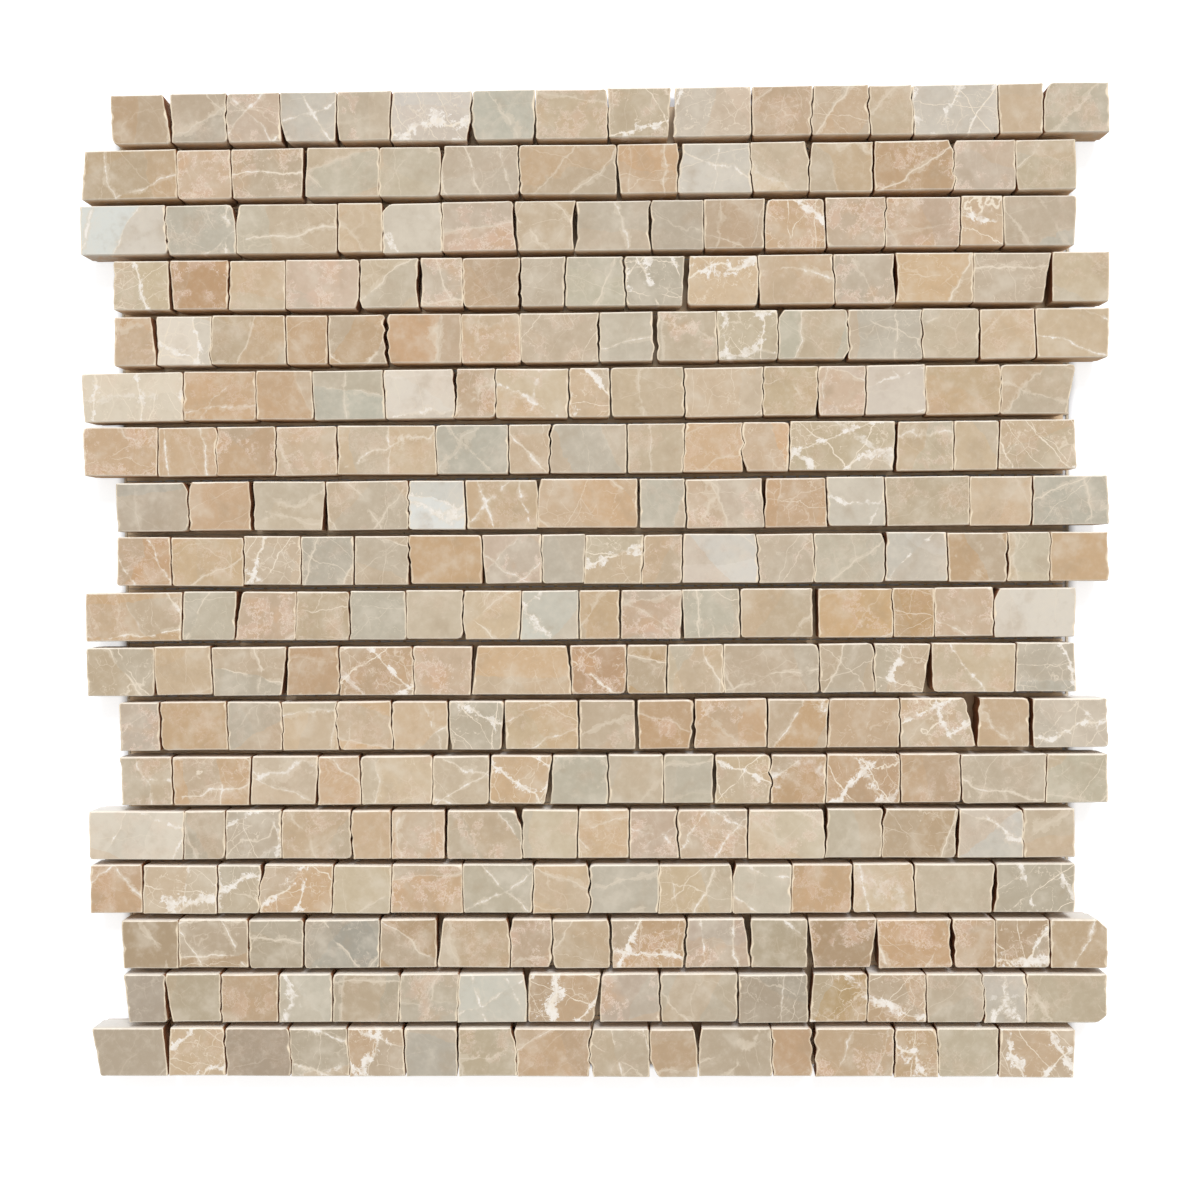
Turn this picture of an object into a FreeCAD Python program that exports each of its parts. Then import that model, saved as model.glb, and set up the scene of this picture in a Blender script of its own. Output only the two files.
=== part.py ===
import FreeCAD, Part
import os
import random

# A mosaic tile sheet lies face up: eighteen courses of stone strip with split ends, glued
# on a glass-fibre mesh. X runs along the courses, Y up the sheet and Z out of its face.
# The origin is the middle of the sheet on the plane that it lies on. Sizes are millimetres.

# Stone strip, as it is sawn and before it is split
STRIP_WIDTH = 15.0
STRIP_THICKNESS = 9.5
ARRIS = 0.7            # flat taken off the edges of the face

# The laid pattern
JOINT = 2.0            # grout joint between courses
COURSE_LENGTH = 305.0
INTERLOCK = 10.0       # how far one pair of courses is shifted past the next
SPLIT_GAP = 0.2        # the least that two split ends in a course are apart
STONE_TURN = 0.6       # degrees that a stone is laid out of line, at most
STONE_STEP = 0.2       # and how far up or down the sheet

# Split ends: each bends twice on its way across the strip
SPLIT_WANDER = 0.15    # how far one stands back, at random, from its joint line
SPLIT_SLANT = 0.4      # how far a joint line's two ends are out of square
SPLIT_BEND = 2.6       # where it bends, from the strip's middle
BEND_SPREAD = 1.6      # how far the bends stray from there
CORNER_BEND = 5.0      # where it bends when a corner has come off
UNDERCUT = 0.7         # how far it can lean back below the face

# Glass-fibre mesh
YARN_WIDTH = 0.9
YARN_THICKNESS = 0.25
YARN_PITCH = 4.0
MESH_SETBACK_X = 4.0   # the mesh is cut this much shorter than a course at each end
MESH_SETBACK_Y = 2.0   # and this much inside the first and last course
MESH_DRIFT_Y = -1.0    # the stones were not laid quite in the middle of it

LAYING_SEED = 18

# Length of each stone from the left, joint centre to joint centre, from the top course down
COURSE_STONES = (
    (18.5, 17.4, 16.5, 17.4, 16.6, 24.7, 19.6, 22.3, 19.4, 24.3, 18.3, 17.4, 13.3, 25.8, 13.7, 19.9),
    (30.1, 16.9, 22.4, 23.0, 18.9, 23.9, 29.8, 18.8, 21.9, 17.7, 19.4, 24.2, 18.7, 18.3),
    (26.6, 21.6, 31.3, 13.8, 18.3, 22.5, 18.2, 22.9, 16.4, 18.5, 18.5, 18.2, 22.6, 13.0, 22.0),
    (17.5, 18.4, 17.5, 22.9, 18.3, 13.3, 17.6, 13.7, 18.3, 18.7, 22.2, 23.0, 18.6, 23.6, 23.6, 17.5),
    (13.3, 17.0, 23.1, 13.0, 18.0, 23.1, 18.2, 24.0, 17.3, 19.1, 18.7, 21.3, 22.5, 17.4, 17.0, 22.3),
    (31.2, 22.5, 17.6, 22.0, 21.7, 12.5, 22.5, 12.7, 22.6, 23.9, 16.8, 14.5, 18.1, 22.8, 22.8),
    (23.1, 18.3, 18.3, 19.0, 30.4, 22.3, 12.8, 23.5, 17.3, 17.9, 14.4, 32.3, 17.7, 13.5, 23.4),
    (22.5, 19.8, 23.0, 25.3, 17.6, 22.3, 30.8, 14.6, 23.9, 19.2, 17.8, 25.6, 19.0, 23.2),
    (17.0, 22.5, 17.8, 16.4, 17.4, 22.5, 18.1, 13.3, 17.9, 12.1, 23.0, 17.3, 21.8, 18.9, 18.3, 13.0, 17.8),
    (30.1, 16.7, 18.6, 16.6, 17.5, 17.5, 17.9, 17.8, 12.7, 18.8, 18.0, 23.0, 23.6, 12.7, 18.1, 24.8),
    (21.2, 17.9, 23.3, 16.3, 23.0, 17.9, 30.7, 17.1, 12.3, 17.2, 29.4, 16.8, 17.5, 25.5, 18.3),
    (12.9, 20.9, 17.0, 17.0, 17.1, 17.5, 17.1, 23.1, 17.8, 17.8, 22.3, 18.6, 22.0, 23.8, 16.2, 23.5),
    (16.5, 24.3, 21.0, 13.2, 22.3, 17.7, 19.1, 17.6, 17.0, 15.6, 17.3, 17.0, 22.7, 18.5, 26.0, 18.9),
    (29.9, 12.8, 17.6, 21.8, 12.4, 17.0, 23.5, 17.3, 15.9, 15.1, 21.5, 23.8, 17.4, 23.1, 20.1, 15.9),
    (16.6, 23.4, 13.4, 22.4, 18.2, 22.2, 21.7, 17.5, 21.4, 22.7, 18.1, 18.7, 19.0, 24.3, 24.7),
    (17.7, 21.9, 17.3, 23.6, 18.2, 22.3, 13.0, 18.1, 23.0, 20.2, 17.6, 21.6, 22.7, 13.3, 16.6, 17.7),
    (13.5, 17.3, 18.0, 16.9, 20.9, 18.1, 21.8, 22.4, 18.6, 24.1, 21.7, 18.3, 18.0, 17.6, 13.1, 24.9),
    (24.1, 17.7, 20.5, 18.0, 17.5, 16.5, 18.2, 22.8, 18.5, 14.9, 22.8, 12.9, 24.7, 13.4, 18.6, 23.3),
)

# Courses that are shifted to the right, counted from the top; the others are shifted left
RIGHT_COURSES = (1, 4, 5, 8, 9, 12, 13, 16, 17)

# Splits that stand open, by course and by the stone on their left, 0 being the course's left
# end: where the opening is, how wide in millimetres at its widest, and which stone it is off.
# A slant runs over the whole end, a plain top or foot starts at a bend, a corner at its edge.
OPEN_SPLITS = {
    1: {1: ("top slant", 2.0, "left"), 3: ("foot", 1.6, "right"), 4: ("foot", 0.8, "both"),
        6: ("foot", 2.2, "both"), 7: ("foot slant", 1.0, "both"), 9: ("wide", 0.9, "both"),
        10: ("wide", 1.0, "both"), 15: ("top", 1.4, "right")},
    2: {0: ("top slant", 1.9, "right"), 3: ("wide", 0.7, "both"), 5: ("top", 1.2, "both"),
        7: ("foot slant", 0.7, "both"), 8: ("top slant", 1.3, "both"), 10: ("top", 1.7, "both"),
        12: ("top corner", 2.2, "both"), 13: ("foot", 0.7, "both")},
    3: {2: ("top", 1.8, "both"), 4: ("top corner", 2.2, "right"), 6: ("middle", 0.5, "both"),
        7: ("middle", 1.4, "both"), 8: ("middle", 0.7, "both")},
    4: {1: ("foot slant", 0.8, "right"), 4: ("foot corner", 1.6, "both"), 5: ("middle", 1.2, "both"),
        7: ("foot slant", 0.6, "both"), 10: ("wide", 0.7, "both"), 11: ("foot", 0.7, "left"),
        13: ("middle", 0.9, "both"), 15: ("foot slant", 2.3, "left")},
    5: {1: ("top slant", 1.4, "left"), 5: ("wide", 0.4, "both"), 6: ("wide", 0.5, "both"),
        8: ("middle", 0.5, "both"), 9: ("wide", 1.2, "both"), 11: ("top corner", 1.6, "right"),
        12: ("foot corner", 1.0, "left")},
    6: {5: ("top slant", 1.1, "right"), 11: ("foot", 0.8, "both"), 15: ("foot slant", 2.6, "left")},
    7: {3: ("wide", 0.5, "both"), 4: ("middle", 0.4, "both"), 10: ("foot", 1.2, "right"),
        12: ("wide", 0.4, "both"), 14: ("wide", 0.5, "both")},
    8: {1: ("top corner", 2.2, "both"), 2: ("wide", 0.5, "both"), 3: ("foot slant", 1.4, "left"),
        6: ("top", 1.2, "both"), 7: ("wide", 0.8, "both"), 9: ("top slant", 1.0, "both")},
    9: {5: ("foot slant", 0.8, "left"), 6: ("foot", 0.8, "both"), 13: ("top", 1.0, "left"),
        15: ("middle", 0.5, "both")},
    10: {2: ("top slant", 1.3, "right"), 6: ("foot", 0.7, "both"), 9: ("wide", 0.4, "both"),
         10: ("foot slant", 1.1, "right"), 11: ("wide", 0.4, "both"), 12: ("wide", 0.9, "both"),
         15: ("top", 1.9, "right")},
    11: {1: ("foot", 0.8, "right"), 3: ("foot slant", 1.3, "left"), 6: ("top slant", 1.4, "right"),
         7: ("top slant", 1.2, "left"), 8: ("foot", 0.5, "both"), 13: ("foot slant", 2.6, "left")},
    12: {6: ("foot", 0.7, "both"), 7: ("foot slant", 1.3, "both"), 8: ("wide", 0.8, "both"),
         9: ("wide", 0.4, "both"), 10: ("foot slant", 1.3, "left"), 12: ("middle", 0.6, "both"),
         14: ("top slant", 4.0, "left"), 15: ("wide", 0.7, "both")},
    13: {3: ("foot slant", 0.6, "left"), 7: ("foot slant", 1.6, "left"), 10: ("middle", 0.8, "both")},
    14: {6: ("wide", 0.5, "both"), 7: ("top", 1.6, "left"), 12: ("top slant", 1.3, "both"),
         13: ("top", 0.9, "both"), 14: ("middle", 0.8, "both")},
    15: {3: ("top", 1.2, "right"), 10: ("top", 1.8, "both"), 12: ("middle", 0.5, "both"),
         14: ("middle", 0.9, "both")},
    16: {5: ("top slant", 1.7, "both"), 6: ("top", 1.6, "both"), 7: ("foot corner", 1.6, "both"),
         8: ("wide", 1.0, "both"), 9: ("wide", 1.2, "both"), 10: ("top slant", 1.7, "left"),
         11: ("foot slant", 1.5, "right"), 12: ("foot slant", 2.7, "left"), 13: ("middle", 1.1, "both"),
         16: ("top corner", 2.8, "left")},
    17: {0: ("foot slant", 1.9, "right"), 1: ("foot slant", 1.3, "right"), 7: ("top", 1.1, "left"),
         8: ("foot slant", 1.6, "left"), 9: ("wide", 0.5, "both"), 11: ("top slant", 1.6, "right"),
         16: ("foot corner", 2.4, "left")},
    18: {0: ("foot slant", 2.4, "right"), 1: ("top slant", 1.9, "left"), 7: ("top", 1.1, "left"),
         8: ("foot", 1.2, "right"), 9: ("foot", 2.2, "right"), 10: ("top", 1.8, "both"),
         12: ("wide", 0.5, "both")},
}

# The share of an opening that is off the stone on its left (1) and the stone on its right (-1)
SHARE_OFF = {
    "left": {1: 1.0, -1: 0.0},
    "right": {1: 0.0, -1: 1.0},
    "both": {1: 0.5, -1: 0.5},
}

# Worked out from the sizes above
COURSE_PITCH = STRIP_WIDTH + JOINT
SHEET_HEIGHT = len(COURSE_STONES) * COURSE_PITCH - JOINT
MESH_GAPS_X = int((COURSE_LENGTH - 2 * MESH_SETBACK_X) // YARN_PITCH)
MESH_GAPS_Y = int((SHEET_HEIGHT - 2 * MESH_SETBACK_Y) // YARN_PITCH)
STONE_BASE = 2 * YARN_THICKNESS
BLANK_SPARE = 0.25 * STRIP_WIDTH   # strip left beyond a split before it is broken off
SPLIT_OVERRUN = 0.2                # share of its last stretch that a split runs on past the strip


def strip(start, end):
    """Sawn strip from one X to another, the long edges of its face eased, centred on Y = 0."""
    half = STRIP_WIDTH / 2
    section = (
        (-half, 0),
        (half, 0),
        (half, STRIP_THICKNESS - ARRIS),
        (half - ARRIS, STRIP_THICKNESS),
        (-half + ARRIS, STRIP_THICKNESS),
        (-half, STRIP_THICKNESS - ARRIS),
    )
    points = [FreeCAD.Vector(start, y, z) for y, z in section]
    return Part.Face(Part.makePolygon(points + points[:1])).extrude(FreeCAD.Vector(end - start, 0, 0))


def joint_lines(number, chance):
    """A course's joint lines from its left end to its right one: X, slant and the two bends' Y."""
    lengths = COURSE_STONES[number - 1]
    open_splits = OPEN_SPLITS.get(number, {})
    lines = []
    for n in range(len(lengths) + 1):
        x = (sum(lengths[:n]) / sum(lengths) - 0.5) * COURSE_LENGTH
        slant = chance.uniform(-SPLIT_SLANT, SPLIT_SLANT)
        low = -SPLIT_BEND + chance.uniform(-BEND_SPREAD, BEND_SPREAD)
        high = SPLIT_BEND + chance.uniform(-BEND_SPREAD, BEND_SPREAD)
        place = open_splits.get(n, [""])[0]
        if place == "foot corner":
            low = -CORNER_BEND
        if place == "top corner":
            high = CORNER_BEND
        lines.append((x, slant, low, high))
    return lines


def standing_back(place, width, heights, chance):
    """How far a split end is back from its joint line at its foot, its two bends and its top."""
    back = []
    for knot, y in enumerate(heights):
        up = y / STRIP_WIDTH + 0.5
        share = {
            "wide": 1,
            "middle": knot in (1, 2),
            "top": knot == 3,
            "top corner": knot == 3,
            "top slant": up,
            "foot": knot == 0,
            "foot corner": knot == 0,
            "foot slant": 1 - up,
        }.get(place, 0)
        back.append(chance.uniform(0, SPLIT_WANDER) + width * share)
    return back


def broken_off(line, away, gap, opening, chance):
    """What goes from a strip beyond a split: the waste, and the flat that eases the new edge.

    away is 1 for the split at a stone's right end and -1 for the one at its left end. The gap is
    half of what every joint has, and the opening is a place and a width. The split leans back
    below the face by a random undercut.
    """
    x, slant, low, high = line
    half = STRIP_WIDTH / 2
    heights = (-half, low, high, half)
    back = standing_back(*opening, heights, chance)
    undercut = chance.uniform(0, UNDERCUT)
    foot, low_bend, high_bend, top = (
        FreeCAD.Vector(x - away * (gap + behind) + slant * y / half, y, 0)
        for y, behind in zip(heights, back)
    )
    far = x + 2 * away * BLANK_SPARE
    outline = [
        foot + (foot - low_bend) * SPLIT_OVERRUN,
        low_bend,
        high_bend,
        top + (top - high_bend) * SPLIT_OVERRUN,
        FreeCAD.Vector(far, STRIP_WIDTH, 0),
        FreeCAD.Vector(far, -STRIP_WIDTH, 0),
    ]
    top_face = Part.Face(Part.makePolygon(outline + outline[:1]))
    top_face.translate(FreeCAD.Vector(0, 0, STRIP_THICKNESS))
    lean = FreeCAD.Vector(-away * undercut, 0, -STRIP_THICKNESS)
    eased_face = top_face.translated(lean * (ARRIS / STRIP_THICKNESS))
    eased_rise = FreeCAD.Vector(-away * ARRIS, 0, ARRIS)
    return [top_face.extrude(lean), eased_face.extrude(eased_rise)]


def course(number, chance):
    """One course's stones side by side, each broken from strip and turned a little as laid."""
    lines = joint_lines(number, chance)
    last = len(lines) - 1
    open_splits = OPEN_SPLITS.get(number, {})
    shift = INTERLOCK / 2 if number in RIGHT_COURSES else -INTERLOCK / 2
    y = SHEET_HEIGHT / 2 - STRIP_WIDTH / 2 - (number - 1) * COURSE_PITCH
    stones = []
    for n in range(last):
        gone = []
        for end, away in ((n, -1), (n + 1, 1)):
            place, width, whose = open_splits.get(end, ("", 0, "both"))
            gap = SPLIT_GAP / 2 if 0 < end < last else 0
            gone += broken_off(lines[end], away, gap, (place, width * SHARE_OFF[whose][away]), chance)
        left, right = lines[n][0], lines[n + 1][0]
        stone = strip(left - BLANK_SPARE, right + BLANK_SPARE).cut(gone)
        middle = FreeCAD.Vector((left + right) / 2, 0, 0)
        stone.rotate(middle, FreeCAD.Vector(0, 0, 1), chance.uniform(-STONE_TURN, STONE_TURN))
        step = chance.uniform(-STONE_STEP, STONE_STEP)
        stone.translate(FreeCAD.Vector(shift, y + step, STONE_BASE))
        stones.append(stone)
    return stones


def centred(courses):
    """The courses moved so that the middle of their outline is on the origin."""
    box = Part.makeCompound([stone for stones in courses for stone in stones]).BoundBox
    for stones in courses:
        for stone in stones:
            stone.translate(FreeCAD.Vector(-box.Center.x, -box.Center.y, 0))
    return courses


def yarns(gaps, crossed_gaps, z, along_x):
    """Flat yarns a pitch apart, one more than the gaps, as long as the yarns they cross lie wide."""
    run = crossed_gaps * YARN_PITCH + YARN_WIDTH
    length, width = (run, YARN_WIDTH) if along_x else (YARN_WIDTH, run)
    made = []
    for n in range(gaps + 1):
        across = (n - gaps / 2) * YARN_PITCH
        x, y = (0, across) if along_x else (across, 0)
        corner = FreeCAD.Vector(x - length / 2, MESH_DRIFT_Y + y - width / 2, z)
        made.append(Part.makeBox(length, width, YARN_THICKNESS, corner))
    return made


def save(node, solids):
    """One STEP file for one node, with all its solids."""
    Part.makeCompound(solids).exportStep(f"parts/{node}.step")


os.makedirs("parts", exist_ok=True)
chance = random.Random(LAYING_SEED)
numbers = range(1, len(COURSE_STONES) + 1)
for number, stones in zip(numbers, centred([course(n, chance) for n in numbers])):
    save(f"course_{number:02d}", stones)

# The warp runs up the sheet and is lowest; the weft crosses it and carries the stones
save("mesh_warp", yarns(MESH_GAPS_X, MESH_GAPS_Y, 0, False))
save("mesh_weft", yarns(MESH_GAPS_Y, MESH_GAPS_X, YARN_THICKNESS, True))
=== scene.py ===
import bpy
import numpy as np
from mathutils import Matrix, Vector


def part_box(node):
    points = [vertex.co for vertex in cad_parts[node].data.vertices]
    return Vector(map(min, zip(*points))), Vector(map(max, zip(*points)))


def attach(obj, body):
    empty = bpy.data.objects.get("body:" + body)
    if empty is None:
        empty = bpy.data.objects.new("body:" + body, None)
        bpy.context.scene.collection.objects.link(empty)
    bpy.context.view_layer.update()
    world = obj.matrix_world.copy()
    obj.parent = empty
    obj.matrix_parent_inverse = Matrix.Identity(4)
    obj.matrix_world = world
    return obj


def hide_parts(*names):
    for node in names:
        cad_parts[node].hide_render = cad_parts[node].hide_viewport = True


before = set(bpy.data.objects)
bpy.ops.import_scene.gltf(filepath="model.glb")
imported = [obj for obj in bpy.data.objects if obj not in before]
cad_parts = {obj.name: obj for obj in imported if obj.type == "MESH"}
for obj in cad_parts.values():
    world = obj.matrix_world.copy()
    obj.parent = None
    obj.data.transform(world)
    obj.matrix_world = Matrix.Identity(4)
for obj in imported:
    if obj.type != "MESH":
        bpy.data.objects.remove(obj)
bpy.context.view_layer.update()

scene = bpy.context.scene
scene.view_settings.view_transform = "Standard"

# The camera stands over the middle of the sheet and looks down at its face, nearly two degrees
# off square. From so near, the outer stones show their back edges past their faces.
CAMERA_PLACE = (0.0101, 0.0050, 0.4221)
CAMERA_TURN = (-0.0222, 0.0193, -0.0061)
LENS = 40.2
SENSOR_WIDTH = 36.0

camera = bpy.data.objects.new("camera", bpy.data.cameras.new("camera"))
camera.location = CAMERA_PLACE
camera.rotation_euler = CAMERA_TURN
camera.data.lens = LENS
camera.data.sensor_width = SENSOR_WIDTH
camera.data.clip_start = 0.01
scene.collection.objects.link(camera)
bpy.context.scene.camera = camera

# A large soft lamp stands beyond the top of the sheet, so edges that face it are bright and
# those that face away are in shade. A pale room fills in the rest.
KEY_STRENGTH = 2.295
KEY_TURN = (np.radians(-48), np.radians(13), 0)
KEY_SPREAD = np.radians(26)
KEY_COLOUR = (0.975, 0.985, 1.02)
ROOM_COLOUR = (1.0, 0.975, 0.94)
ROOM_STRENGTH = 0.525

key = bpy.data.objects.new("key", bpy.data.lights.new("key", "SUN"))
key.data.energy = KEY_STRENGTH
key.data.angle = KEY_SPREAD
key.data.color = KEY_COLOUR
key.rotation_euler = KEY_TURN
scene.collection.objects.link(key)


class Wire:
    """An output socket in a shader tree, with the arithmetic on it written as Python expressions."""

    def __init__(self, tree, socket=None):
        self.tree = tree
        self.socket = socket

    def node(self, kind, settings=None, sockets=None, out=0):
        """Adds a node, sets it up, gives its sockets their values or links, and returns an output."""
        made = self.tree.nodes.new("ShaderNode" + kind)
        for name, value in (settings or {}).items():
            setattr(made, name, value)
        for name, value in (sockets or {}).items():
            if isinstance(value, Wire):
                self.tree.links.new(value.socket, made.inputs[name])
            else:
                made.inputs[name].default_value = value
        return Wire(self.tree, made.outputs[out] if made.outputs else None)

    def math(self, operation, first, second=0.0):
        return self.node("Math", {"operation": operation}, {0: first, 1: second})

    def __add__(self, other):
        return self.math("ADD", self, other)

    __radd__ = __add__

    def __sub__(self, other):
        return self.math("SUBTRACT", self, other)

    def __mul__(self, other):
        return self.math("MULTIPLY", self, other)

    __rmul__ = __mul__

    def __abs__(self):
        return self.math("ABSOLUTE", self)

    def over(self, other):
        """The larger of two values."""
        return self.math("MAXIMUM", self, other)

    def along(self, direction):
        """How far this vector reaches in a direction, in lengths of that direction's vector."""
        scaled = np.array(direction) / np.dot(direction, direction)
        return self.node("VectorMath", {"operation": "DOT_PRODUCT"}, {0: self, 1: tuple(scaled)}, "Value")

    def part(self, number):
        """One of this vector's or colour's three parts."""
        return self.node("SeparateXYZ", None, {0: self}, number)

    def step(self, low, high):
        """0 below the low value, 1 above the high one and a smooth rise between them."""
        settings = {"interpolation_type": "SMOOTHSTEP"}
        return self.node("MapRange", settings, {"Value": self, "From Min": low, "From Max": high})

    def blend(self, other, share, mode="MIX"):
        """This colour with a share of another one laid over it."""
        settings = {"data_type": "RGBA", "blend_type": mode}
        return self.node("Mix", settings, {0: share, 6: self, 7: other}, 2)

    def moved(self, by, amount):
        """This vector moved by the same amount of another one's three parts."""
        settings = {"operation": "MULTIPLY_ADD"}
        return self.node("VectorMath", settings, {0: by, 1: (amount, amount, amount), 2: self})

    def noise(self, size, detail=2.0, rough=0.5, out=0):
        """Noise on this vector whose lumps are about the given size."""
        sockets = {"Vector": self, "Scale": 1 / size, "Detail": detail, "Roughness": rough}
        return self.node("TexNoise", None, sockets, out)


def linear(red, green, blue):
    """A colour as a screen shows it, 0 to 255 a channel, as the renderer wants it."""
    share = np.array([red, green, blue]) / 255
    return (*np.where(share <= 0.04045, share / 12.92, ((share + 0.055) / 1.055) ** 2.4), 1.0)


def seen_rays(start):
    """1 for rays from the camera or from a mirroring or clear surface."""
    path = [start.node("LightPath", out=f"Is {kind} Ray") for kind in ("Camera", "Glossy", "Transmission")]
    return path[0].over(path[1]).over(path[2])


world = bpy.data.worlds.new("room")
world.use_nodes = True
world.node_tree.nodes.clear()
scene.world = world
start = Wire(world.node_tree)
room = start.node("Background", None, {"Color": (*ROOM_COLOUR, 1), "Strength": ROOM_STRENGTH})
white = start.node("Background", None, {"Color": (1, 1, 1, 1), "Strength": 1.0})
shown = start.node("MixShader", None, {0: seen_rays(start), 1: room, 2: white})
start.node("OutputWorld", None, {"Surface": shown})


# The sheet lies on a plain white floor. Beyond the sheet's outline the camera sees it white,
# but for the sheet's shadow. Under the sheet it is only as light as the lamp leaves it.
FLOOR_HALF = 3.0
FLOOR_DROP = 0.00005
FLOOR_COLOUR = linear(222, 224, 228)
FLOOR_GLOW = 0.66
WHITENS_X = (0.1475, 0.1515)     # how far from the sheet's middle the floor turns white
WHITENS_Y = (0.1515, 0.1535)

signs = ((-1, -1), (1, -1), (1, 1), (-1, 1))
corners = [(x * FLOOR_HALF, y * FLOOR_HALF, -FLOOR_DROP) for x, y in signs]
floor_mesh = bpy.data.meshes.new("floor")
floor_mesh.from_pydata(corners, [], [(0, 1, 2, 3)])
floor = bpy.data.objects.new("floor", floor_mesh)
scene.collection.objects.link(floor)


def new_material(name):
    """An empty material and the start of its nodes."""
    material = bpy.data.materials.new(name)
    material.use_nodes = True
    material.node_tree.nodes.clear()
    return material, Wire(material.node_tree)


floor_material, start = new_material("white_floor")
place = start.node("TexCoord", out="Object")
aside = abs(place.part(0))
along = abs(place.part(1))
beyond = aside.step(*WHITENS_X).over(along.step(*WHITENS_Y))
matte = start.node("BsdfDiffuse", None, {"Color": FLOOR_COLOUR})
glow = start.node("Emission", None, {"Color": (1, 1, 1, 1), "Strength": FLOOR_GLOW})
lit = start.node("AddShader", None, {0: matte, 1: glow})
shown = start.node("MixShader", None, {0: beyond * seen_rays(start), 1: matte, 2: lit})
start.node("OutputMaterial", None, {"Surface": shown})
floor_mesh.materials.append(floor_material)


# The stones are glued on an open net woven of white glass-fibre yarn, which binder stiffens.
# The yarns are flat bundles of filaments. Each passes over one crossing yarn and under the next.
YARN_WIDTH = 0.0009
YARN_PITCH = 0.004
YARN_DEPTH = 0.00024
YARN_ROUND = 6                   # points round a yarn
YARN_COLOUR = linear(214, 200, 178)
YARN_SOILED = linear(168, 150, 122)
SOILED_PATCH = 0.006
FILAMENT = 0.00025


def yarns(low, high, along_axis, over_first):
    """Flat tubes side by side in a box, as points of yarn, place along, place round and XYZ.

    Round a yarn goes an ellipse: half the width times the cosine of the angle, half the depth times
    its sine. The height of its middle swings with the cosine of the place along, a half turn a
    pitch, and each yarn is half a turn behind its neighbour.
    """
    across_axis = 1 - along_axis
    count = round((high[across_axis] - low[across_axis] - YARN_WIDTH) / YARN_PITCH) + 1
    gaps = round((high[along_axis] - low[along_axis] - YARN_WIDTH) / YARN_PITCH)
    place = np.arange(-0.5, gaps + 1, 0.5)
    turn = np.linspace(0, 2 * np.pi, YARN_ROUND, endpoint=False)
    number = np.arange(count)
    swing = np.cos(np.pi * (place[None, :] + number[:, None] + over_first))
    swing = np.where(place % 1 == 0, swing, 0)
    reach = (high[2] - low[2] - YARN_DEPTH) / 2
    along = low[along_axis] + YARN_WIDTH / 2 + place * YARN_PITCH
    along = np.clip(along, low[along_axis], high[along_axis])
    points = np.empty((count, len(place), len(turn), 3))
    points[..., along_axis] = along[None, :, None]
    middle = low[across_axis] + YARN_WIDTH / 2 + number * YARN_PITCH
    points[..., across_axis] = middle[:, None, None] + YARN_WIDTH / 2 * np.cos(turn)
    points[..., 2] = (low[2] + high[2]) / 2 + reach * swing[..., None] + YARN_DEPTH / 2 * np.sin(turn)
    return points


def tube_faces(rings, rounds):
    """Quads between the rings of a tube, and the polygons that close its two ends."""
    ring, turn = np.meshgrid(np.arange(rings - 1), np.arange(rounds), indexing="ij")
    next_turn = (turn + 1) % rounds
    quads = np.stack([ring * rounds + turn, ring * rounds + next_turn,
                      (ring + 1) * rounds + next_turn, (ring + 1) * rounds + turn], axis=-1)
    start = np.arange(rounds)[::-1].tolist()
    end = (np.arange(rounds) + (rings - 1) * rounds).tolist()
    return quads.reshape(-1, 4), [start, end]


def mesh_object(name, points, material):
    """A piece made of closed tubes: points of tube, ring, place round and XYZ."""
    count, rings, rounds = points.shape[:3]
    quads, ends = tube_faces(rings, rounds)
    size = rings * rounds
    faces = []
    for n in range(count):
        faces += (quads + n * size).tolist()
        faces += [[corner + n * size for corner in end] for end in ends]
    mesh = bpy.data.meshes.new(name)
    mesh.from_pydata(points.reshape(-1, 3), [], faces)
    mesh.shade_smooth()
    mesh.materials.append(material)
    piece = bpy.data.objects.new(name, mesh)
    scene.collection.objects.link(piece)
    return piece


yarn_material, start = new_material("glass_fibre_yarn")
place = start.node("TexCoord", out="Object")
soiled = place.noise(SOILED_PATCH, 4)
fibres = place.noise(FILAMENT, 3)
colour = place.node("RGB")
colour.socket.default_value = YARN_COLOUR
colour = colour.blend(YARN_SOILED, soiled.step(0.45, 0.7) * 0.6)
bump = place.node("Bump", None, {"Strength": 0.5, "Distance": 0.00005, "Height": fibres})
sockets = {"Base Color": colour, "Roughness": 0.5 + 0.25 * soiled, "Normal": bump}
surface = start.node("BsdfPrincipled", None, sockets)
start.node("OutputMaterial", None, {"Surface": surface})

warp_low, warp_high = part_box("mesh_warp")
weft_low, weft_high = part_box("mesh_weft")
low = (weft_low.x, warp_low.y, warp_low.z)
high = (weft_high.x, warp_high.y, weft_high.z)
for name, along_axis, over_first in (("mesh_warp", 1, 0), ("mesh_weft", 0, 1)):
    points = yarns(low, high, along_axis, over_first)
    if along_axis == 1:
        points = points[:, :, ::-1]
    piece = mesh_object(name + "_yarns", points, yarn_material)
    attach(piece, "root")
    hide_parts(name)


# A film of pale brown glue holds each course on the net. It is among the upper yarns,
# and the stones have squeezed it out into the joints, nearly to the next course's film.
GLUE_LOW = 0.00028
GLUE_HIGH = 0.00048
GLUE_STEP = 0.001                # between the points of its wavy edges
GLUE_REACH = (0.0081, 0.0085)    # from the middle of a course to the film's edges
GLUE_PALE = linear(244, 222, 190)
GLUE_BROWN = linear(214, 184, 146)
GLUE_LUMP = 0.006
GLUE_SEED = 17
COURSES = 18


def wandering(chance, shape, low, high):
    """Random values between two limits, each the mean of five in a row, stretched by a half."""
    values = chance.random((*shape[:-1], shape[-1] + 4))
    values = sum(values[..., n:n + shape[-1]] for n in range(5)) / 5
    return low + (high - low) * np.clip(1.5 * values - 0.25, 0, 1)


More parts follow.
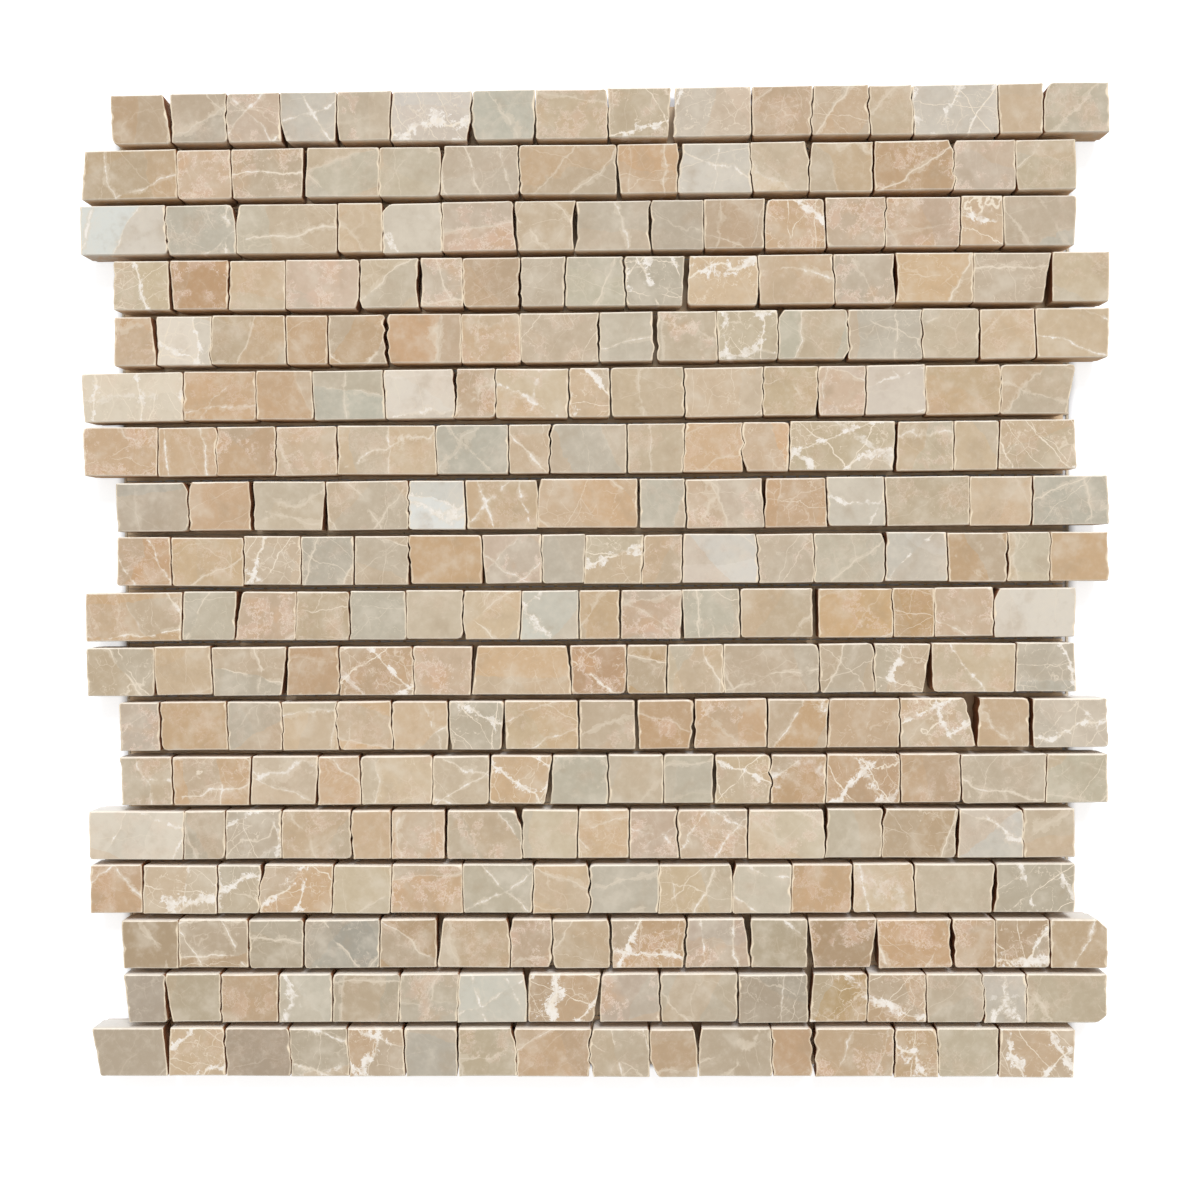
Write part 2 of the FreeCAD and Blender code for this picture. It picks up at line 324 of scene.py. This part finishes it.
glue, start = new_material("brown_glue")
place = start.node("TexCoord", out="Object")
lumps = place.noise(GLUE_LUMP, 6, 0.65)
colour = place.node("RGB")
colour.socket.default_value = GLUE_PALE
colour = colour.blend(GLUE_BROWN, lumps.step(0.3, 0.75))
bump = place.node("Bump", None, {"Strength": 0.6, "Distance": 0.0002, "Height": lumps})
surface = start.node("BsdfPrincipled", None, {"Base Color": colour, "Roughness": 0.55, "Normal": bump})
start.node("OutputMaterial", None, {"Surface": surface})

places = np.arange(low[0] + GLUE_STEP, high[0] - GLUE_STEP, GLUE_STEP)
courses = [f"course_{number:02d}" for number in range(1, COURSES + 1)]
middles = np.array([sum(corner.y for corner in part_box(course)) / 2 for course in courses])
reach = wandering(np.random.default_rng(GLUE_SEED), (2, COURSES, len(places)), *GLUE_REACH)
edges = middles[:, None] + reach * np.array([-1, 1])[:, None, None]
edges = np.clip(edges, low[1], high[1])
points = np.empty((COURSES, len(places), 4, 3))
points[..., 0] = places[:, None]
points[..., 1] = np.stack([edges[0], edges[1], edges[1], edges[0]], axis=-1)
points[..., 2] = (GLUE_LOW, GLUE_LOW, GLUE_HIGH, GLUE_HIGH)
piece = mesh_object("glue_film", points, glue)
piece.data.shade_flat()
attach(piece, "root")
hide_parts("mesh_weft")


# Eighteen courses of short stones, each broken from a sawn strip of honed marble. The long
# sides are sawn, the ends are split and rough, and rubbing has rounded and chipped the edges of
# the face. Each stone is from its own place in the block, so colour and veins differ.
STONE_DEPTH = 0.0095     # from back to face
FACE_EASE = 0.00045      # rounding of the face's sawn edges
SPLIT_EASE = 0.00013     # and of the edges that are split
EASE_LEAST = 0.8         # share of the rounding that each point has at least
EASE_MORE = 0.5          # and the share that chance adds
CHIP_LUCK = 0.94         # draws above this make a chip
FACE_CHIP = 0.0002       # how large it is on a sawn edge
SPLIT_CHIP = 0.0009      # and on a split one
BACK_EASE = 0.00015
BACK_MARGIN = 0.0012     # from the back's edges to the polygon that fills its middle
RIM = 0.0002             # how far the rounding's pale rim runs on to the face
SPLIT_RIM = 0.0002       # and how much further it does at the split ends
SPLIT_JAG = 0.00017      # how far a split strays from the drawn line, with both its stones
FINE_JAG = 1.2           # fine jags to each part of broad ones
JAG_LEAST = 0.3          # share of its jags that the straightest split has
JAG_MORE = 1.3           # and the share that chance adds
OUTER_JAG = 0.45         # share of the jags at the outer ends of a course
SPLIT_CLOSED = (-0.4, 1)  # share of a split's space closed up, or opened where it is below 0
SPLIT_ROUGH = 0.00007    # how far a split end is worn back between its high spots
LINE_ROUGH = 1.6         # how much of that is the same from back to face
RING_ROUGH = 1.5         # and how much is each ring's own at the back, less towards the face
RING_MIDDLE = 0.3        # what a ring's own is counted from
ROUGH_MOST = 2.0
SCORE_DEPTH = 0.0009     # depth of the saw cut across the strip's back that a split starts from
SCORE_HEIGHT = 0.0014    # and how far up from the back it reaches
SCORE_LIP = 0.0002
CORNER_EASE = (0.0002, 0.0005)
KNOCKED_CORNER = 0.0014  # what the worst corner has off as well
CORNER_LUCK = 8          # power that makes this rare
LEAST_RADIUS = 0.00005
SIDE_PLACES = np.array([0, 0.06, 0.25, 0.5, 0.75, 0.94, 1])
END_PLACES = np.linspace(0, 1, 17)
CORNER_PLACE = 1 - 0.5 ** 0.5


def cad_corners(node):
    """The corners of a course's solids: stone, level, end, place from foot to top, XYZ.

    A solid has eight corners at its back, eight where its sides end and eight round its face,
    four at each end. Its triangles are loose, so equal points are joined first. Then the lowest
    point number spreads along the triangles until it is the same all over a solid.
    """
    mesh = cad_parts[node].data
    points = np.empty(len(mesh.vertices) * 3)
    mesh.vertices.foreach_get("co", points)
    corners = np.empty(len(mesh.loops), int)
    mesh.loops.foreach_get("vertex_index", corners)
    points, joined = np.unique(points.reshape(-1, 3).round(7), axis=0, return_inverse=True)
    triangles = joined.reshape(-1)[corners].reshape(-1, 3)
    solid = np.arange(len(points))
    settled = False
    while not settled:
        spread = solid.copy()
        np.minimum.at(spread, triangles, spread[triangles].min(axis=1)[:, None])
        settled = (spread == solid).all()
        solid = spread
    order = np.lexsort((points[:, 2].round(5), solid))
    stones = points[order].reshape(-1, 3, 8, 3)
    by_x = np.argsort(stones[..., 0], axis=2)
    stones = np.take_along_axis(stones, by_x[..., None], axis=2).reshape(-1, 3, 2, 4, 3)
    by_y = np.argsort(stones[..., 1], axis=3)
    stones = np.take_along_axis(stones, by_y[..., None], axis=3)
    return stones[np.argsort(stones[..., 0].mean(axis=(1, 2, 3)))]


def end_line(corners, share_up):
    """Points on one split end of each stone, at shares of the way from its foot to its top.

    They are on the straight runs between its four corners, half of each run's share being eased
    with 3w^2 - 2w^3, so that the bends are soft and the line leaves no corner out.
    """
    y = corners[..., 1]
    knots = (y - y[:, :1]) / (y[:, 3:] - y[:, :1])
    points = corners[:, :1]
    for run in range(3):
        share = (share_up - knots[:, run:run + 1]) / (knots[:, run + 1:run + 2] - knots[:, run:run + 1])
        share = np.clip(share, 0, 1)
        eased = (share + share * share * (3 - 2 * share)) / 2
        points = points + eased[..., None] * (corners[:, run + 1] - corners[:, run])[:, None]
    return points


def outline(length, width, inset, rounding, worn):
    """Distances along and across each stone of the points of an outline inside its edges.

    It goes anticlockwise round a rectangle that is the inset in from the stone's edges: foot,
    right end, top, left end. A corner is rounded by the arc's ends and its middle, which is
    1 - sqrt(1/2) of the radius in from both sides. A split end is worn back as well.
    """
    along_parts = []
    across_parts = []
    corner_inset = inset[:, CORNERS]
    radius = np.maximum(rounding - corner_inset, LEAST_RADIUS)
    worn_corner = np.stack([worn[:, 1, -1], worn[:, 0, 0], worn[:, 0, -1], worn[:, 1, 0]], axis=1)
    in_along = corner_inset + worn_corner
    for side in range(4):
        is_end = side % 2 == 1
        here, there = side, (side + 1) % 4
        places = END_PLACES if is_end else SIDE_PLACES
        run = width if is_end else length
        reach = corner_inset if is_end else in_along
        begin = (reach + radius)[:, here:here + 1]
        finish = run - (reach + radius)[:, there:there + 1]
        forward = begin + (finish - begin) * places
        off = inset[:, SIDE_STARTS[side]:SIDE_STARTS[side] + len(places)]
        depth = in_along if is_end else corner_inset
        if is_end:
            off = off + worn[:, side // 2]
        corner_forward = run - (reach + radius * CORNER_PLACE)[:, there:there + 1]
        corner_off = (depth + radius * CORNER_PLACE)[:, there:there + 1]
        forward = np.concatenate([forward, corner_forward], axis=1)
        off = np.concatenate([off, corner_off], axis=1)
        along, across = ((forward, off), (length - off, forward),
                         (length - forward, width - off), (off, width - forward))[side]
        along_parts.append(along)
        across_parts.append(across)
    return np.concatenate(along_parts, axis=1), np.concatenate(across_parts, axis=1)


def softened(values):
    """Random values with each drawn towards its neighbours along the last axis."""
    left = np.roll(values, 1, axis=-1)
    right = np.roll(values, -1, axis=-1)
    return (left + 2 * values + right) / 4


# Where each side of an outline starts in the row of its points, and where its corners are:
# before the foot, the right end, the top and the left end
SIDE_COUNTS = np.array([len(SIDE_PLACES) + 1, len(END_PLACES) + 1] * 2)
SIDE_STARTS = np.concatenate([[0], np.cumsum(SIDE_COUNTS)[:3]])
CORNERS = np.concatenate([[SIDE_COUNTS.sum() - 1], SIDE_STARTS[1:] - 1])
OUTLINE_ENDS = np.repeat([0.0, 1.0, 0.0, 1.0], SIDE_COUNTS)


def even_at_corners(values):
    """Values round an outline, with the points next to each corner made equal to it."""
    values = values.copy()
    for near in (-1, 1):
        values[:, (CORNERS + near) % values.shape[1]] = values[:, CORNERS]
    return values


def face_easing(count, chance):
    """How far each stone's face is rounded off at each point of its outline, chips included.

    It is the edge's rounding times a share: the least one, and chance times the added one.
    Where another draw is above the chips' luck, the size of a chip is added.
    """
    shape = (count, len(OUTLINE_ENDS))
    is_split = OUTLINE_ENDS > 0
    grit = softened(chance.random(shape))
    chips = softened((chance.random(shape) > CHIP_LUCK) * 1.0)
    ease = np.where(is_split, SPLIT_EASE, FACE_EASE) * (EASE_LEAST + EASE_MORE * grit)
    return even_at_corners(ease + chips * np.where(is_split, SPLIT_CHIP, FACE_CHIP))


def split_strays(back, shoulder, chance):
    """How far each stone's two ends stand back from their lines, at places along them.

    Two neighbours share one jagged line, so one stands back where the other stands out, and
    half of the space that is closed up between them goes to each. The line is fine chance plus
    broad chance, both softened, times a strength: the least share, and a draw squared times the
    added one. At a course's outer ends the jags only go inwards.
    """
    count = len(back)
    small, large = chance.normal(size=(2, count + 1, len(END_PLACES)))
    jag = SPLIT_JAG * (FINE_JAG * softened(small) + softened(softened(softened(large))))
    jag *= JAG_LEAST + JAG_MORE * chance.random((count + 1, 1)) ** 2
    jag[[0, -1]] *= OUTER_JAG
    jag[0] -= jag[0].min()
    jag[-1] -= jag[-1].max()
    ups = np.tile(END_PLACES, (count - 1, 1))
    spaces = [end_line(level[1:, 0], ups) - end_line(level[:-1, 1], ups) for level in (back, shoulder)]
    space = np.stack(spaces)[..., 0].min(axis=(0, 2))
    closed = np.zeros((count + 1, 1))
    closed[1:-1, 0] = chance.uniform(*SPLIT_CLOSED, count - 1) * space / 2
    return np.stack([-jag[1:] - closed[1:], jag[:-1, ::-1] - closed[:-1]], axis=1)


def stone_points(corners, chance):
    """The skin of each stone: stone, ring from the back's middle to the face's, place round, XYZ.

    A ring is an outline at a height. Below the face it follows a quarter circle: the inset is
    the rounding times 1 - cos and the height below the face is the rounding times 1 - sin. A
    point is between the two end lines by its share along, and between back and shoulder by height.
    """
    count = len(corners)
    back, shoulder, face = corners[:, 0], corners[:, 1], corners[:, 2]
    base, shoulder_top, top = (level[..., 2].mean(axis=(1, 2))[:, None] for level in (back, shoulder, face))
    length = (back[:, 1, :, 0] - back[:, 0, :, 0]).mean(axis=1)[:, None]
    width = (back[:, :, 3, 1] - back[:, :, 0, 1]).mean(axis=1)[:, None]
    rounding = chance.uniform(*CORNER_EASE, (count, 4))
    rounding += KNOCKED_CORNER * chance.random((count, 4)) ** CORNER_LUCK
    ease = face_easing(count, chance)
    profile = softened(softened(chance.random((count, 2, len(END_PLACES)))))
    profile = profile - profile.min(axis=2, keepdims=True)
    stray = split_strays(back, shoulder, chance)
    none = np.zeros_like(ease)
    rings = [(none + inset, base + none, SCORE_DEPTH) for inset in (BACK_MARGIN, BACK_EASE)]
    rings += [(none, base + up + none, SCORE_DEPTH) for up in (BACK_EASE, SCORE_HEIGHT)]
    rings += [(none, base + SCORE_HEIGHT + SCORE_LIP + none, 0)]
    rings += [(none, base + share * (top - base) + none, 0) for share in (0.5, 0.75)]
    steps = np.radians([0, 30, 60, 90])
    rings += [(ease * (1 - np.cos(step)), top - ease * (1 - np.sin(step)), 0) for step in steps]
    rings += [(even_at_corners(ease + RIM + SPLIT_RIM * OUTLINE_ENDS), top + none, 0)]
    skins = []
    for inset, height, scored in rings:
        own = softened(chance.random(profile.shape)) - RING_MIDDLE
        lower = np.clip((top - height).mean() / STONE_DEPTH, 0, 1)
        rough = np.clip(LINE_ROUGH * profile + RING_ROUGH * lower * own, 0, ROUGH_MOST)
        along, across = outline(length, width, inset, rounding, SPLIT_ROUGH * rough + stray + scored)
        ends = [[end_line(level[:, side], across / width) for side in (0, 1)] for level in (back, shoulder)]
        low, high = (left + (right - left) * (along / length)[..., None] for left, right in ends)
        share = (height - base) / (shoulder_top - base)
        points = low + (high - low) * share[..., None]
        points[..., 2] = height
        skins.append(points)
    return np.stack(skins, axis=1)


# What each kind of stone looks like on its face. Most kinds turn up by chance, each as often as
# its share says. A few stones stand out, and these are laid in their own places: the course,
# counted from the top, and the stone's number in it from the left
COMMON_KINDS = {
    "beige": ((201, 183, 156), 0.41),
    "tan": ((199, 171, 138), 0.25),
    "grey": ((190, 181, 162), 0.17),
    "pink": ((200, 181, 160), 0.11),
    "pale": ((212, 203, 187), 0.06),
}
STANDING_OUT = {
    "white": ((222, 217, 207), {
        1: (6,), 2: (9,), 3: (1,), 5: (2,), 6: (5,), 8: (5,), 9: (11,), 10: (16,)}),
    "slate": ((182, 171, 153), {17: (1, 11), 18: (1, 3)}),
    "orange": ((194, 159, 124), {4: (2,), 11: (8,), 12: (10,), 16: (12,)}),
    "golden": ((197, 168, 127), {10: (13, 14), 11: (9,), 17: (12,)}),
}
# The stones with strong pale veins and patches of white crystal, by course and number too
VEINED = {
    1: (6, 9, 10, 14), 3: (11, 14), 4: (1, 10, 11), 5: (2, 11), 6: (1, 8), 7: (12, 15),
    9: (3, 9), 11: (5, 13, 15), 12: (7, 14), 13: (7, 11, 13), 14: (3,), 15: (2, 3, 4, 15),
    16: (9, 15), 17: (8, 12, 13), 18: (2, 5, 14, 16),
}
STRONG_FIGURE = (1, 0.9)  # what they have of veins and of white patches

# What stones have of veins, of white patches and of stains: the most by chance, and a power
# that makes much of it rare
FIGURE = ((0.7, 1.6), (0.4, 3), (0.8, 2))
VEINS, PATCHES, STAINS = range(3)
STAINED_KIND = 0.8       # what pink and orange stones have of stains
CLEAN_KIND = 0.3         # share of their stains that grey and pale stones keep
PATCHY_KIND = 0.3        # what pale stones have more of white patches
PLAIN_KIND = 0.35        # share of the other shades in a stone of one plain colour

# Stones of a kind differ in how light, how warm and how green they are, by these shares of
# red, green and blue times a random normal value. The lowest courses, farthest from the lamp, are painted a
# little darker: painted shade.
LIGHTNESS = 0.033
WARMTH = np.array([0.007, -0.01, -0.028])
GREENNESS = np.array([0.0, 0.006, 0.0])
RANDOM_LIMITS = (-1.4, 1.8)
DARKER_COURSES = (16, 17, 18)
DARKER = 0.935
LIGHTEST = 250


def look_of(course, count, chance):
    """Each stone's own colour, its share of veins, white patches and stains, and of other shades."""
    shares = [share for shade, share in COMMON_KINDS.values()]
    kinds = chance.choice(list(COMMON_KINDS), count, p=shares).astype(object)
    for kind, (shade, laid) in STANDING_OUT.items():
        kinds[np.array(laid.get(course, ()), int) - 1] = kind
    shades = {kind: shade for kind, (shade, laid) in {**COMMON_KINDS, **STANDING_OUT}.items()}
    colour = np.array([shades[kind] for kind in kinds], float)
    mixed = np.where(np.isin(kinds, ("slate", "orange")), PLAIN_KIND, 1.0)
    figure = np.stack([most * chance.random(count) ** power for most, power in FIGURE], axis=1)
    figure[np.isin(kinds, ("pink", "orange")), STAINS] = STAINED_KIND
    figure[np.isin(kinds, ("grey", "pale", "white", "slate")), STAINS] *= CLEAN_KIND
    figure[np.isin(kinds, ("pale", "white")), PATCHES] += PATCHY_KIND
    strong = np.array(VEINED.get(course, ()), int) - 1
    figure[strong, VEINS], figure[strong, PATCHES] = STRONG_FIGURE
    light, warm, green = np.clip(chance.normal(size=(3, count, 1)), *RANDOM_LIMITS)
    colour *= 1 + light * LIGHTNESS + warm * WARMTH + green * GREENNESS
    # painted shade on the courses farthest from the lamp
    if course in DARKER_COURSES:
        colour *= DARKER
    return np.array([linear(*one) for one in np.clip(colour, 0, LIGHTEST)]), figure, mixed


BLOCK_REACH = 400        # millimetres, each way


def bed_places(points, chance):
    """Where each point of a stone was in the block, in millimetres.

    Four random normal values, divided by their length, are the quaternion that the stone is
    turned by about its middle. Then it is moved at random, as far as the block reaches.
    """
    count = len(points)
    quaternion = chance.normal(size=(count, 4))
    w, x, y, z = (quaternion / np.linalg.norm(quaternion, axis=1, keepdims=True)).T
    turn = np.array([
        [1 - 2 * (y * y + z * z), 2 * (x * y - z * w), 2 * (x * z + y * w)],
        [2 * (x * y + z * w), 1 - 2 * (x * x + z * z), 2 * (y * z - x * w)],
        [2 * (x * z - y * w), 2 * (y * z + x * w), 1 - 2 * (x * x + y * y)],
    ])
    middle = points.mean(axis=(1, 2), keepdims=True)
    turned = np.einsum("ijn,nrcj->nrci", turn, points - middle) * 1000
    return turned + chance.uniform(-BLOCK_REACH, BLOCK_REACH, (count, 1, 1, 3))


def give(mesh, name, kind, values):
    """Puts values for all of a mesh's points on it, for its material to read."""
    layer = mesh.attributes.new(name, kind, "POINT")
    field = {"FLOAT": "value", "FLOAT_VECTOR": "vector", "FLOAT_COLOR": "color"}[kind]
    layer.data.foreach_set(field, np.ascontiguousarray(values, dtype=np.float32).reshape(-1))


marble, start = new_material("honed_marble")
tone = start.node("Attribute", {"attribute_name": "tone"}, out="Color")
bed = start.node("Attribute", {"attribute_name": "bed"}, out="Vector")
figure = start.node("Attribute", {"attribute_name": "figure"}, out="Vector")
veins, patches, stains = (figure.part(n) for n in range(3))
edge, rim, side, split, gap_shade_and_glue, lit_side_paint, shaded_side_paint, mixed = (
    start.node("Attribute", {"attribute_name": name}, out="Fac")
    for name in ("edge", "rim", "side", "split", "gap_shade_and_glue", "lit_side_paint", "shaded_side_paint", "mixed")
)

# The beds of the block are folded, so what runs through them wanders. Sizes are millimetres.
FOLD_SIZE = 12
FOLD = 7.0
DRIFT_SIZE = 9
MOTTLE_SIZE = 2.4
CRYSTAL_SIZE = 5
folded = bed.moved(bed.noise(FOLD_SIZE, 7, 0.52, "Color"), FOLD)
drift = bed.noise(DRIFT_SIZE, 4, 0.55, "Color")
cloud, rust, alive = (drift.part(n) for n in range(3))
mottle = bed.noise(MOTTLE_SIZE, 4, 0.6)
crystal = folded.noise(CRYSTAL_SIZE, 7, 0.76)

# Cracks that pale crystal has healed run right through the block, in sets. Whether one shows,
# and how strongly, differs from crack to crack and fades along it. The first two sets have white
# crystal grown out from them with a ragged edge, and from one crack to the next the stone changes.
# A set is its direction, as long as the space between its cracks, their thickness and rareness.
CRACK_SETS = (
    ((9.0, 3.0, 2.0), 0.22, 0.40),
    ((5.0, -9.0, 4.0), 0.18, 0.45),
    ((1.0, 4.0, 7.5), 0.12, 0.30),
    ((-4.0, 3.0, 4.0), 0.08, 0.45),
)
GROWN = 2.1              # how far white crystal grows out at most
MILKY = 1.6              # and how far the stone beside a crack is milky
pale = 0.0
white = 0.0
milky = 0.0
zones = []
for direction, thick, rare in CRACK_SETS:
    spacing = np.linalg.norm(direction)
    place_across = folded.along(direction)
    crack = place_across.math("ROUND", place_across)
    luck = crack.node("TexWhiteNoise", {"noise_dimensions": "1D"}, {"W": crack + spacing})
    shows = (luck + 0.25 * patches).step(rare, 1.0) * alive.step(0.36, 0.5)
    gap = abs(place_across - crack)
    line = gap.step(thick * 1.5 / spacing, thick * 0.4 / spacing)
    pale = (line * shows).over(pale)
    if len(zones) < 2:
        grown = gap - crystal.step(0.42, 0.66) * patches * (GROWN / spacing)
        white = (grown.step(0.1 / spacing, -0.4 / spacing) * shows.step(0.0, 0.4)).over(white)
        grown = gap - crystal.step(0.35, 0.7) * (MILKY / spacing)
        milky = (grown.step(0.05 / spacing, -0.25 / spacing) * shows.step(0.0, 0.6)).over(milky)
        zone = crack.math("FLOOR", place_across)
        zones.append(zone.node("TexWhiteNoise", {"noise_dimensions": "1D"}, {"W": zone + spacing}))
pale = pale * (0.15 + 1.15 * veins)

# Between them are threads, and a network of small cracks in places
NETWORK_SIZE = 6
NETWORK_FOLD = 5.0
thread = abs(cloud - 0.5).step(0.008, 0.002) * crystal.step(0.42, 0.55) * veins * 0.75
small = bed.moved(drift, NETWORK_FOLD)
sockets = {"Vector": small, "Scale": 1 / NETWORK_SIZE}
small_gap = small.node("TexVoronoi", {"feature": "DISTANCE_TO_EDGE"}, sockets)
network = small_gap.step(0.028, 0.006) * rust.step(0.48, 0.56) * veins * 0.6
pale = pale.over(thread).over(network)

# The shades that lie over the stone's own colour, from the lowest up: colour, share, and where
lace = rust.step(0.46, 0.54) * stains
# The pale edges are partly rubbed white and partly a painted highlight
rubbing_and_highlight = 0.4 + 0.8 * mottle
colour = tone
for shade, share, where in (
    # Between the cracks the stone is a shade greyer or warmer, and a little clouded
    ((191, 183, 166), 0.45, zones[0].step(0.5, 0.9) * mixed),
    ((208, 174, 136), 0.34, zones[1].step(0.5, 0.1) * mixed),
    ((230, 220, 202), 0.42, cloud.step(0.48, 0.75) * mixed),
    ((176, 156, 129), 0.38, cloud.step(0.48, 0.24) * mixed),
    ((230, 219, 200), 0.25, mottle.step(0.45, 0.8)),
    ((172, 153, 127), 0.2, mottle.step(0.5, 0.2)),
    ((228, 215, 194), 0.42, milky * mixed),
    # Iron has stained it orange and pink in places, and the pink is a lace of crystals
    ((217, 174, 134), 0.6, rust.step(0.48, 0.75) * stains),
    ((223, 194, 175), 0.42, crystal.step(0.5, 0.55) * lace),
    ((241, 225, 209), 0.8, abs(crystal - 0.52).step(0.025, 0.005) * lace),
    # Pale veins and white crystal lie over these
    ((240, 227, 206), 0.85, pale),
    ((246, 240, 231), 1.0, white * (0.3 + 0.7 * mottle.step(0.3, 0.6))),
    # The split ends are rough and sugary. The sawn side facing the lamp is painted near white, a painted
    # highlight; the one facing away and the walls between the stones are painted brown, painted shade
    ((228, 214, 190), 0.3, split * mottle.step(0.35, 0.6)),
    ((240, 239, 235), 0.75, lit_side_paint),
    ((206, 152, 98), 1.0, shaded_side_paint * (0.3 + 0.35 * mottle.step(0.3, 0.7))),
    ((140, 82, 38), 0.9, gap_shade_and_glue),
    # Rubbing leaves the edges white, and they are painted paler still: a painted highlight
    ((254, 246, 231), 1.0, edge * rubbing_and_highlight),
    ((252, 236, 209), 1.0, rim * rubbing_and_highlight),
):
    colour = colour.blend(linear(*shade), where * share)

bump = bed.node("Bump", None, {"Strength": 0.7, "Distance": 0.0003, "Height": split * mottle * 1.5})
roughness = 0.36 + 0.12 * mottle + 0.4 * side + 0.1 * edge
sockets = {"Base Color": colour, "Roughness": roughness, "Normal": bump, "Specular IOR Level": 0.15}
surface = start.node("BsdfPrincipled", None, sockets)
start.node("OutputMaterial", None, {"Surface": surface})

# Of what there is on a stone's skin, how much each ring of its points has, from the back's
# middle to the face's: white on the rubbed edges and pale rims at the splits, both partly a painted
# highlight, sides that aren't polished, painted shade on the walls between the stones, and glue at their
# feet
RING_EDGE = np.array([0, 0.3, 0.3, 0, 0, 0, 0, 0.5, 1, 1, 0.9, 0])[:, None]
RING_RIM = np.array([0, 0.3, 0.3, 0, 0, 0, 0, 0, 0.6, 1, 1, 0])[:, None]
RING_SIDE = np.array([0, 0.5, 1, 1, 1, 1, 1, 0.6, 0.1, 0, 0, 0])[:, None]
RING_GAP_SHADE = np.array([0, 0.4, 0.5, 0.5, 0.6, 0.8, 1, 1, 0.3, 0, 0, 0])[:, None]
RING_FOOT = np.array([0, 0.4, 0.3, 0.1, 0, 0, 0, 0, 0, 0, 0, 0])[:, None]
OUTLINE_FOOT = np.repeat([1.0, 0.0, 0.0, 0.0], SIDE_COUNTS)
OUTLINE_TOP = np.repeat([0.0, 0.0, 1.0, 0.0], SIDE_COUNTS)
SPLIT_UNRUBBED = 0.85    # how much less than a sawn edge a split one is rubbed at most
SPLIT_RUBBED = 1.4       # what chance gives back of that, times a draw
FOOT_EDGE_SHADE = 0.4      # and how much less pale the edge at the foot is painted: painted shade, as it faces away from the lamp
STONE_SEED = 180
for course, node in enumerate(courses, 1):
    chance = np.random.default_rng(STONE_SEED + course)
    points = stone_points(cad_corners(node), chance)
    shape = points.shape[:3]
    count = shape[0]
    colours, figures, mixed = look_of(course, count, chance)
    piece = mesh_object(f"stones_{course:02d}", points, marble)
    give(piece.data, "bed", "FLOAT_VECTOR", bed_places(points, chance))
    give(piece.data, "tone", "FLOAT_COLOR", np.broadcast_to(colours[:, None, None], (*shape, 4)))
    give(piece.data, "figure", "FLOAT_VECTOR", np.broadcast_to(figures[:, None, None], (*shape, 3)))
    inner = np.tile(OUTLINE_ENDS, (count, 1))
    inner[0, SIDE_STARTS[3]:] = 0
    inner[-1, SIDE_STARTS[1]:SIDE_STARTS[2]] = 0
    # painted shade on the walls between stones, and glue at the feet of the sawn sides
    gap_shade_and_glue = RING_GAP_SHADE * inner[:, None] + RING_FOOT * (1 - OUTLINE_ENDS)
    luck = softened(chance.random((count, 1, shape[2])))
    rubbed_and_highlit = 1 - OUTLINE_ENDS * (SPLIT_UNRUBBED - SPLIT_RUBBED * luck)
    rubbed_and_highlit = rubbed_and_highlit * (1 - FOOT_EDGE_SHADE * OUTLINE_FOOT)
    for name, values in (
        ("edge", RING_EDGE * (1 - OUTLINE_ENDS) * rubbed_and_highlit),
        ("rim", RING_RIM * OUTLINE_ENDS * rubbed_and_highlit),
        ("side", RING_SIDE),
        ("split", RING_SIDE * OUTLINE_ENDS),
        ("gap_shade_and_glue", gap_shade_and_glue),
        # a painted highlight on the sawn side that faces the lamp
        ("lit_side_paint", RING_SIDE * OUTLINE_TOP),
        # painted shade on the sawn side that faces away from the lamp
        ("shaded_side_paint", RING_SIDE * OUTLINE_FOOT),
        ("mixed", mixed[:, None, None]),
    ):
        give(piece.data, name, "FLOAT", np.broadcast_to(values, shape))
    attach(piece, "root")
    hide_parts(node)
